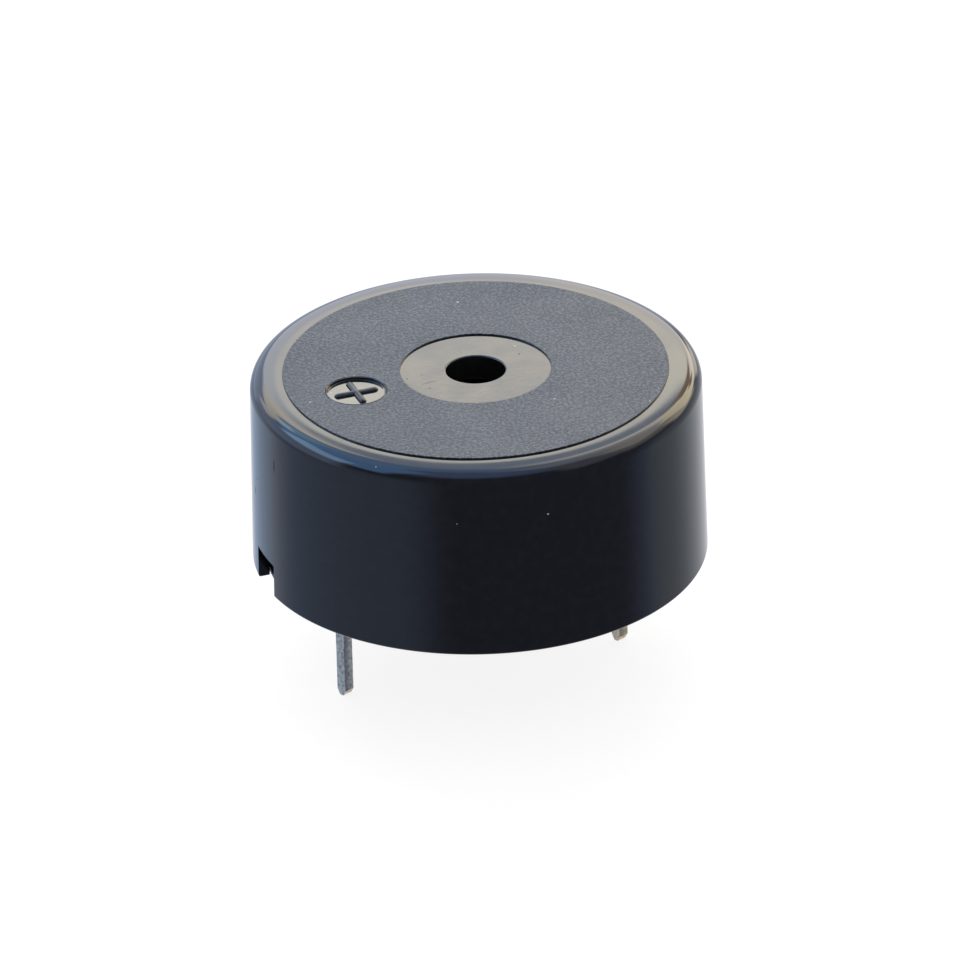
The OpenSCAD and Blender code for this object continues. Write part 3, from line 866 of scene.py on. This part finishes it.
@dataclass
class Innards:
    """The board, diaphragm, wires and small components, whose CAD shapes stay and get their finishes."""

    def build(self) -> None:
        """Dresses each node."""
        finishes = {
            # Poured and cured: smooth and glossy
            ("base_seal",): Finish("Cured epoxy", "#141416", "#1d1d20", (0.25, 0.4), 0.6, 0.01),
            # Resin-soaked paper, pressed: brown, with soft clouds of paper pulp
            ("circuit_board",): Finish("Paper laminate", "#b07c42", "#9a6a35", (0.45, 0.6), 0.35, 0.004),
            # Bare foil, slightly dulled by air
            ("copper_tracks",): Finish("Etched copper foil", "#c98a5e", "#b3714a", (0.25, 0.4), 0.2, 0.002, 1.0),
            # Frozen from the melt: bright, with faint ripples
            ("positive_pin_solder", "negative_pin_solder", "component_solder", "drive_wire_solder",
             "feedback_wire_solder", "ground_wire_solder"):
                Finish("Bright solder", "#c9cac9", "#aeb0b0", (0.15, 0.32), 0.25, 0.006, 1.0),
            # Rolled sheet: fine lines along the rolling direction
            ("diaphragm_plate",):
                Finish("Rolled brass", "#cfae63", "#bf9b50", (0.22, 0.34), 0.05, 0.001, 1.0, Pattern.ROLLED),
            # Squeezed from a nozzle: smooth and slightly wavy
            ("diaphragm_adhesive",): Finish("Cured silicone", "#d9d9d2", "#cbcbc3", (0.35, 0.5), 0.8, 0.02),
            # Fired and lapped: matt and finely grained
            ("piezo_ceramic",): Finish("Fired piezo ceramic", "#cdbf9b", "#c2b28c", (0.55, 0.7), 0.08, 0.003),
            # Screen-printed paste, fired: pale and matt
            ("main_electrode", "feedback_electrode"):
                Finish("Fired silver film", "#dadad6", "#c6c6c0", (0.4, 0.55), 0.06, 0.002, 1.0),
            # Transfer-moulded resin full of filler: matt
            ("driver_transistor",): Finish("Moulded epoxy", "#1f1f21", "#28282b", (0.5, 0.65), 0.07, 0.004),
            # Stamped and tinned strip
            ("transistor_leads",): Finish("Tinned lead frame", "#c4c5c4", "#aaabab", (0.25, 0.4), 0.1, 0.002, 1.0),
            # Printed element under a glaze: a low sheen
            ("load_resistor", "bias_resistor", "feedback_resistor"):
                Finish("Glazed chip resistor", "#1c1c1f", "#26262a", (0.3, 0.45), 0.1, 0.003),
            # Extruded soft plastic on the three wires: smooth, with a low sheen
            ("drive_wire",): Finish("Red wire insulation", "#a5282a", "#94201f", (0.3, 0.42), 0.4, 0.004),
            ("feedback_wire",): Finish("Blue wire insulation", "#2f5aa0", "#284d8c", (0.3, 0.42), 0.4, 0.004),
            ("ground_wire",): Finish("Black wire insulation", "#1b1b1d", "#252527", (0.3, 0.42), 0.4, 0.004),
        }
        for nodes, finish in finishes.items():
            material = finish.material()
            for name in nodes:
                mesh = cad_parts[name].data
                mesh.materials.clear()
                mesh.materials.append(material)
            LOG.info("%s: %s", finish.title, ", ".join(nodes))


# Studio

@dataclass(frozen=True)
class Panel:
    """A soft lamp or a card that faces the object, placed as the camera sees it round the object.

    Attributes:
        name: Name of the lamp or card.
        around: Degrees from the camera's right-hand side, with 90 straight behind the object.
        above: Degrees above the horizon of its middle.
        wide: Degrees that it spans sideways.
        tall: Degrees that it spans upwards.
        colour: Its colour.
        strength: How many times as bright as white paper it looks.
        soft: Degrees over which its edges fade.
    """

    name: str
    around: float
    above: float
    wide: float
    tall: float
    colour: str
    strength: float
    soft: float = 2.0


@dataclass
class Studio:
    """Camera, floor, backdrop and lamps."""

    azimuth: float = -19.5
    elevation: float = 27.856
    roll: float = 1.51
    distance: float = 492.07
    lens: float = 361.85
    sensor_w: float = 36.0
    right: float = 0.0754
    up: float = 3.339
    floor_z: float = -7.0
    floor_half: float = 700.0
    paper_grey: float = 0.26
    paper_glow: float = 0.84
    reach: float = 900.0
    dome_r: float = 800.0
    lamps: tuple[Panel, ...] = (
        Panel("key", 100, 52, 60, 40, "#ffffff", 1.6),
        Panel("fill", 285, 40, 60, 40, "#ffffff", 0.8),
    )
    cards: tuple[Panel, ...] = (
        Panel("ceiling", 90, 90, 360, 74, "#a0c0ff", 1.6, 24),
        Panel("ceiling_right", 38, 66, 92, 30, "#dfeaff", 2.0, 12),
        Panel("wall_right", -18, 46, 50, 40, "#dfe6ff", 0.85, 16),
        Panel("sky_behind", 96, 50, 58, 56, "#b0d1ff", 1.95, 9),
        Panel("sky_low", 86, 33, 22, 8, "#d4e5ff", 1.48, 2),
        Panel("paper_beside", 121, -40, 244, 100, "#c4d8ff", 0.7, 32),
        Panel("wall_left", 160, 12, 76, 34, "#bfd6ff", 1.75, 14),
        Panel("wall_side", 12, 36, 42, 32, "#fffdf6", 1.05, 14),
        Panel("paper_right", 30, -40, 44, 90, "#e6f2ff", 0.59, 16),
        Panel("paper_behind", 94, -40, 96, 90, "#f7f9ff", 0.93, 50),
        Panel("paper_left", 124, -40, 36, 90, "#cbe0ff", 1.0, 16),
        Panel("paper_below", 0, -90, 360, 70, "#fff4e8", 0.95, 16),
        Panel("wall_behind", 104, 12, 52, 26, "#cfe0ff", 1.7, 5),
        Panel("blue_wall", 168, 52, 104, 44, "#8bbeff", 3.1, 10),
        Panel("blue_window", 172, 35, 46, 20, "#aad3ff", 5.5, 8),
        Panel("blue_panes", 122, 43, 30, 10, "#a8d9ff", 3.0, 5),
        Panel("left_window", 127, 38, 16, 7, "#d4f1ff", 4.1, 3),
        Panel("warm_wall", 44, 46, 84, 22, "#fffaf5", 2.3, 9),
        Panel("warm_band", 71, 40, 31, 10, "#fbf6f6", 3.8, 8),
        Panel("warm_low", 38, 22, 26, 22, "#fff1d8", 2.8, 10),
        Panel("warm_window", 56, 29, 34, 24, "#fff0d0", 4.8, 5),
        Panel("strip_end", 131, 24, 16, 10, "#fbfdff", 2.7, 4),
        Panel("left_strip", 113.8, 31.8, 40.4, 8, "#fff6ea", 3.3, 2.4),
        Panel("strip_middle", 92.5, 24.5, 8, 9.2, "#f2f8ff", 3.3, 1.6),
        Panel("white_strip", 79.3, 25.1, 26, 8, "#fff9ea", 4.35, 1.6),
        Panel("window_sill", 66, 11, 14, 16, "#fff5e8", 2.6, 6),
        Panel("low_window", 71, 22, 22, 9, "#fff5e5", 4.8, 4),
        Panel("shade_low", 89.5, 10, 9, 14, "#e6eeff", 2.5, 3),
        Panel("shade_right", 85, 22, 10, 9, "#fffaf5", 3.55, 1.6),
        Panel("shade_left", 94, 22, 10, 9, "#eef2ff", 3.43, 1.6),
        Panel("curtain", 76.3, 30.1, 15.6, 6.6, "#ffdfb8", 1.25, 1.2),
        Panel("curtain_end", 66, 25.5, 9, 4.6, "#ffd7b0", 1.3, 1.2),
    )

    def axes(self) -> tuple[Vector, Vector, Vector]:
        """Works out the camera's directions.

        Returns:
            Its right, up and back directions before its roll.
        """
        a, e = math.radians(self.azimuth), math.radians(self.elevation)
        back = Vector((math.sin(a) * math.cos(e), -math.cos(a) * math.cos(e), math.sin(e)))
        right = Vector((math.cos(a), math.sin(a), 0))
        return right, back.cross(right), back

    def camera(self) -> None:
        """Sets the camera at the photograph's viewing angle."""
        right, up, back = self.axes()
        place = (back * self.distance + right * self.right + up * self.up) * MM
        tilt = math.radians(self.roll)
        rolled_right = right * math.cos(tilt) - up * math.sin(tilt)
        rolled_up = up * math.cos(tilt) + right * math.sin(tilt)
        bpy.ops.object.camera_add()
        camera = bpy.context.object
        camera.data.lens = self.lens
        camera.data.sensor_width = self.sensor_w
        camera.data.clip_start, camera.data.clip_end = 0.01, 10
        camera.matrix_world = Matrix((
            (rolled_right.x, rolled_up.x, back.x, place.x),
            (rolled_right.y, rolled_up.y, back.y, place.y),
            (rolled_right.z, rolled_up.z, back.z, place.z),
            (0, 0, 0, 1),
        ))
        bpy.context.scene.camera = camera

    def shown(self, tree: bpy.types.NodeTree) -> bpy.types.NodeSocket:
        """Tells the rays that see a thing from those that only light it.

        Args:
            tree: The node tree.

        Returns:
            A mask that is 1 for camera, glossy and transmission rays.
        """
        path = add_node(tree, "ShaderNodeLightPath")
        seen = add_node(tree, "ShaderNodeMath", {
            0: path.outputs["Is Camera Ray"], 1: path.outputs["Is Glossy Ray"],
        }, operation="MAXIMUM").outputs[0]
        return add_node(tree, "ShaderNodeMath", {
            0: seen, 1: path.outputs["Is Transmission Ray"],
        }, operation="MAXIMUM").outputs[0]

    def world(self, plain: float = 0.62) -> None:
        """Makes the white world: full strength where it is seen, and a plain soft light elsewhere.

        Args:
            plain: Strength of that soft light.
        """
        world = bpy.data.worlds.new("White studio")
        bpy.context.scene.world = world
        world.use_nodes = True
        tree = world.node_tree
        light = add_node(tree, "ShaderNodeMix", {0: self.shown(tree), 2: plain, 3: 1.0}).outputs[0]
        tree.links.new(light, tree.nodes["Background"].inputs["Strength"])
        tree.nodes["Background"].inputs["Color"].default_value = (1, 1, 1, 1)

    def floor(self) -> None:
        """Matt white paper on which the pins stand. From below it is clear, so that the underside shows."""
        bpy.ops.object.select_all(action="DESELECT")
        bpy.ops.mesh.primitive_plane_add(size=2 * self.floor_half * MM, location=(0, 0, self.floor_z * MM))
        floor = bpy.context.object
        floor.name = "floor"
        made = bpy.data.materials.new("White paper")
        made.use_nodes = True
        tree = made.node_tree
        tree.nodes.remove(tree.nodes["Principled BSDF"])
        grey = self.paper_grey
        paper = add_node(tree, "ShaderNodeBsdfDiffuse", {"Color": (grey, grey, grey, 1)})
        glow = add_node(tree, "ShaderNodeEmission", {"Color": (1, 1, 1, 1), "Strength": self.paper_glow})
        none = add_node(tree, "ShaderNodeEmission", {"Strength": 0.0})
        seen = add_node(tree, "ShaderNodeMixShader", {0: self.shown(tree), 1: none.outputs[0], 2: glow.outputs[0]})
        both = add_node(tree, "ShaderNodeAddShader", {0: paper.outputs[0], 1: seen.outputs[0]})
        side = add_node(tree, "ShaderNodeNewGeometry").outputs["Backfacing"]
        clear = add_node(tree, "ShaderNodeBsdfTransparent")
        whole = add_node(tree, "ShaderNodeMixShader", {0: side, 1: both.outputs[0], 2: clear.outputs[0]})
        tree.links.new(whole.outputs[0], tree.nodes["Material Output"].inputs["Surface"])
        floor.data.materials.append(made)
        floor.visible_glossy = False

    def direction(self, around: float, above: float) -> Vector:
        """Direction from the object, by degrees round it as the camera sees it and above the horizon."""
        a, e = math.radians(around + self.azimuth), math.radians(above)
        return Vector((math.cos(a) * math.cos(e), math.sin(a) * math.cos(e), math.sin(e)))

    def lamp(self, panel: Panel) -> None:
        """Adds one soft rectangular lamp.

        Args:
            panel: Its place, size, colour and strength.
        """
        wide = 2 * self.reach * math.tan(math.radians(panel.wide / 2)) * MM
        tall = 2 * self.reach * math.tan(math.radians(panel.tall / 2)) * MM
        toward = self.direction(panel.around, panel.above)
        bpy.ops.object.light_add(type="AREA", location=toward * self.reach * MM)
        lamp = bpy.context.object
        lamp.name = panel.name
        lamp.rotation_euler = toward.to_track_quat("Z", "Y").to_euler()
        lamp.data.shape = "RECTANGLE"
        lamp.data.size, lamp.data.size_y = wide, tall
        lamp.data.color = linear(panel.colour)[:3]
        lamp.data.energy = panel.strength * math.pi * wide * tall
        lamp.visible_camera = lamp.visible_glossy = False

    def band(
        self, tree: bpy.types.NodeTree, offset: bpy.types.NodeSocket, half: float, soft: float,
    ) -> bpy.types.NodeSocket:
        """Draws a mask that is 1 within half a width of the middle and fades out over a soft edge.

        Args:
            tree: The node tree.
            offset: Degrees from the middle, with either sign.
            half: Half the width, in degrees.
            soft: Width of the fading edge, in degrees.

        Returns:
            The mask's socket.
        """
        away = add_node(tree, "ShaderNodeMath", {0: offset}, operation="ABSOLUTE").outputs[0]
        return add_node(tree, "ShaderNodeMapRange", {
            "Value": away, "From Min": half + soft / 2, "From Max": half - soft / 2,
        }, interpolation_type="SMOOTHSTEP").outputs[0]

    def surroundings(self, room: str = "#cdd3ff", level: float = 0.23) -> None:
        """Adds the cards and windows round the object as one painted dome that only reflections show.

        Args:
            room: Colour of the dark room between them.
            level: How many times as bright as white paper that room looks.
        """
        bpy.ops.object.select_all(action="DESELECT")
        bpy.ops.mesh.primitive_ico_sphere_add(subdivisions=5, radius=self.dome_r * MM)
        dome = bpy.context.object
        dome.name = "surroundings"
        made = bpy.data.materials.new("Cards and windows")
        made.use_nodes = True
        tree = made.node_tree
        tree.nodes.remove(tree.nodes["Principled BSDF"])
        place = add_node(tree, "ShaderNodeTexCoord").outputs["Object"]
        unit = add_node(tree, "ShaderNodeVectorMath", {0: place}, operation="NORMALIZE").outputs[0]
        axes = add_node(tree, "ShaderNodeSeparateXYZ", {0: unit})
        bearing = add_node(tree, "ShaderNodeMath", {
            0: axes.outputs[1], 1: axes.outputs[0],
        }, operation="ARCTAN2").outputs[0]
        around = add_node(tree, "ShaderNodeMath", {0: bearing, 1: 180 / math.pi}, operation="MULTIPLY").outputs[0]
        rise = add_node(tree, "ShaderNodeMath", {0: axes.outputs[2]}, operation="ARCSINE").outputs[0]
        above = add_node(tree, "ShaderNodeMath", {0: rise, 1: 180 / math.pi}, operation="MULTIPLY").outputs[0]
        seen = tuple(level * c for c in linear(room)[:3]) + (1.0,)
        for card in self.cards:
            aside = add_node(tree, "ShaderNodeMath", {
                0: around, 1: card.around + self.azimuth,
            }, operation="SUBTRACT").outputs[0]
            aside = add_node(tree, "ShaderNodeMath", {0: aside, 1: 180.0, 2: -180.0}, operation="WRAP").outputs[0]
            higher = add_node(tree, "ShaderNodeMath", {0: above, 1: card.above}, operation="SUBTRACT").outputs[0]
            mask = add_node(tree, "ShaderNodeMath", {
                0: self.band(tree, aside, card.wide / 2, card.soft) if card.wide < 360 else 1.0,
                1: self.band(tree, higher, card.tall / 2, card.soft),
            }, operation="MULTIPLY").outputs[0]
            shade = tuple(card.strength * c for c in linear(card.colour)[:3]) + (1.0,)
            seen = add_node(tree, "ShaderNodeMix", {0: mask, 6: seen, 7: shade}, data_type="RGBA").outputs[2]
        glow = add_node(tree, "ShaderNodeEmission", {"Color": seen, "Strength": 1.0})
        tree.links.new(glow.outputs[0], tree.nodes["Material Output"].inputs["Surface"])
        dome.data.materials.append(made)
        dome.visible_camera = dome.visible_diffuse = dome.visible_shadow = dome.visible_transmission = False

    def build(self) -> None:
        """Builds the whole studio."""
        self.camera()
        self.world()
        self.floor()
        for panel in self.lamps:
            self.lamp(panel)
        self.surroundings()
        bpy.context.scene.view_settings.view_transform = "Standard"
        LOG.info("Studio: %d lamps, %d cards", len(self.lamps), len(self.cards))


def main() -> None:
    """Builds the buzzer and its studio."""
    logging.basicConfig(level=logging.INFO, format="%(message)s")
    Studio().build()
    Housing().build()
    BasePlate().build()
    Pin("positive_square_pin", "positive_pin", -PIN_X).build()
    # This pin is the same tin drawn yellower: a painted warm reflection
    Pin("negative_square_pin", "negative_pin", PIN_X, finish=Finish(
        "Tinned wire with painted warm reflection", "#f0dcb4", "#c2ad8c", (0.35, 0.5), 0.16, 0.006, metallic=1.0,
    )).build()
    Innards().build()


if __name__ == "__main__":
    main()
